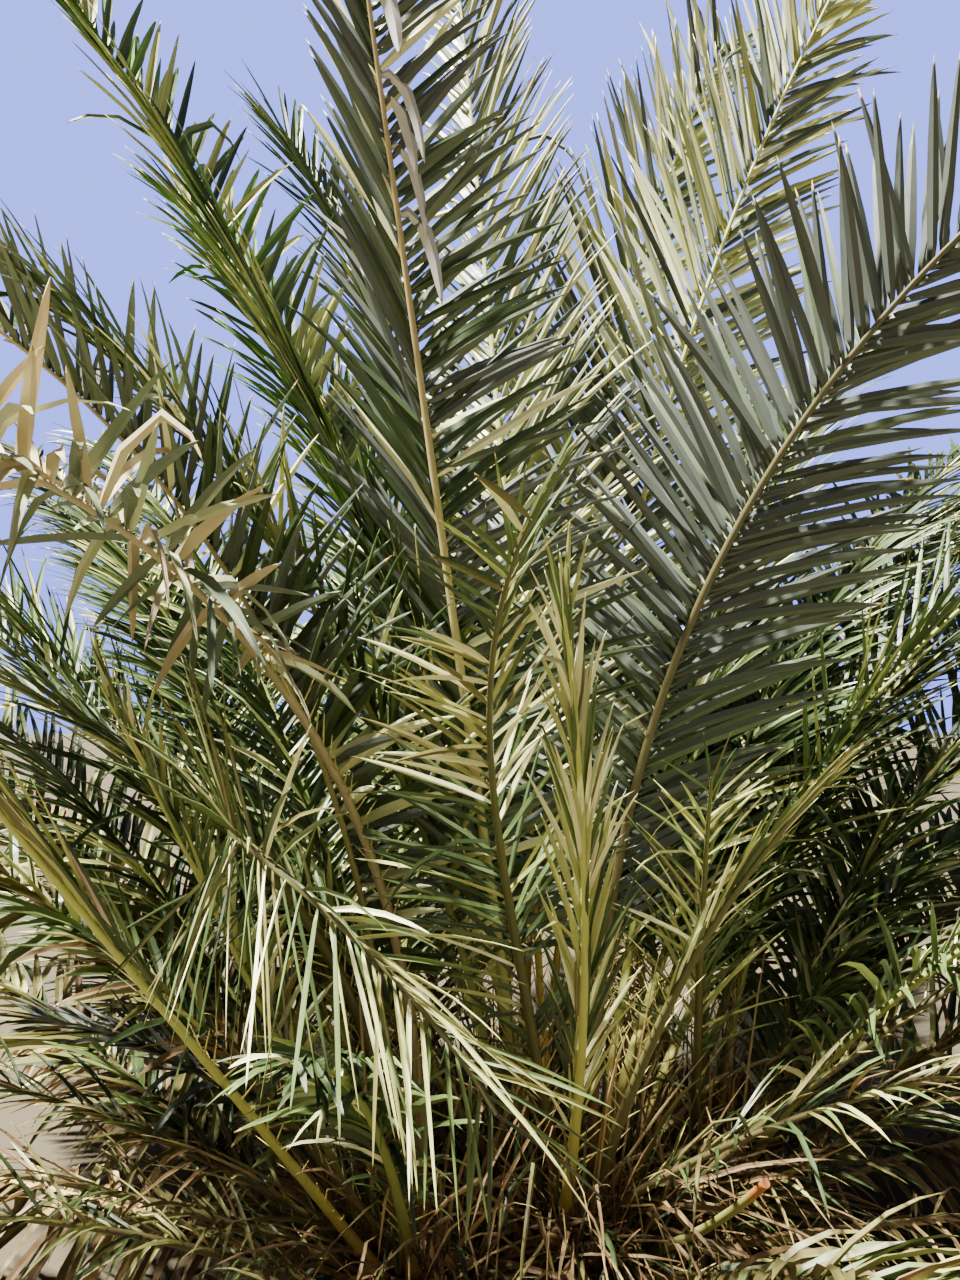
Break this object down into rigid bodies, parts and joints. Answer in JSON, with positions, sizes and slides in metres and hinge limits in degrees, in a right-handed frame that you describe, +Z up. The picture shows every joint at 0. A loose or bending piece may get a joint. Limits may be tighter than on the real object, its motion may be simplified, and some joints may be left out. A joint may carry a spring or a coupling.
{
  "type": "date palm offshoot clump",
  "caption": "Young date palm clump rooted in the ground: short stems from one root with long arching feather fronds, some dry ones low down.",
  "frame": {"origin": "centre of the flat cut under the main stem, at ground level", "axes": "+Z up; the picture looks along +Y with +X to its right"},
  "size_m": [5.2327, 4.1307, 3.7307],
  "materials": {
    "stem_bark": "rough brown stem wrapped in old leaf bases and fibre",
    "cut_stalk": "cut leaf stalk, yellow green turning orange brown at the cut",
    "leaf_green": "matt green leaflets with a pale stalk",
    "leaf_sunlit": "yellow green leaflets, slightly glossy",
    "leaf_grey_green": "grey green leaflets with a waxy bloom",
    "leaf_dry": "dry straw coloured leaflets"
  },
  "bodies": {
    "root": {"back_frond_01": "leaf_green", "back_frond_02": "leaf_green", "back_frond_03": "leaf_sunlit", "back_frond_04": "leaf_sunlit", "back_frond_05": "leaf_green", "back_frond_06": "leaf_green", "back_frond_07": "leaf_green", "back_frond_08": "leaf_green", "back_frond_09": "leaf_green", "back_frond_10": "leaf_green", "back_frond_11": "leaf_green", "back_frond_12": "leaf_dry", "back_frond_13": "leaf_dry", "back_stem": "stem_bark", "cut_stump": "cut_stalk", "left_frond_01": "leaf_green", "left_frond_02": "leaf_grey_green", "left_frond_03": "leaf_sunlit", "left_frond_04": "leaf_sunlit", "left_frond_05": "leaf_grey_green", "left_frond_06": "leaf_dry", "left_frond_07": "leaf_green", "left_frond_08": "leaf_green", "left_frond_09": "leaf_green", "left_frond_10": "leaf_green", "left_frond_11": "leaf_green", "left_frond_12": "leaf_green", "left_frond_13": "leaf_dry", "left_frond_14": "leaf_dry", "left_frond_15": "leaf_green", "left_stem": "stem_bark", "main_frond_01": "leaf_green", "main_frond_02": "leaf_green", "main_frond_03": "leaf_sunlit", "main_frond_04": "leaf_grey_green", "main_frond_05": "leaf_sunlit", "main_frond_06": "leaf_sunlit", "main_frond_07": "leaf_green", "main_frond_08": "leaf_green", "main_frond_09": "leaf_dry", "main_frond_10": "leaf_green", "main_frond_11": "leaf_green", "main_frond_12": "leaf_green", "main_frond_13": "leaf_green", "main_frond_14": "leaf_green", "main_frond_15": "leaf_green", "main_stem": "stem_bark", "right_frond_01": "leaf_green", "right_frond_02": "leaf_sunlit", "right_frond_03": "leaf_green", "right_frond_04": "leaf_green", "right_frond_05": "leaf_green", "right_frond_06": "leaf_green", "right_frond_07": "leaf_green", "right_frond_08": "leaf_green", "right_frond_09": "leaf_green", "right_frond_10": "leaf_green", "right_frond_11": "leaf_dry", "right_frond_12": "leaf_dry", "right_stem": "stem_bark"}
  },
  "joints": []
}
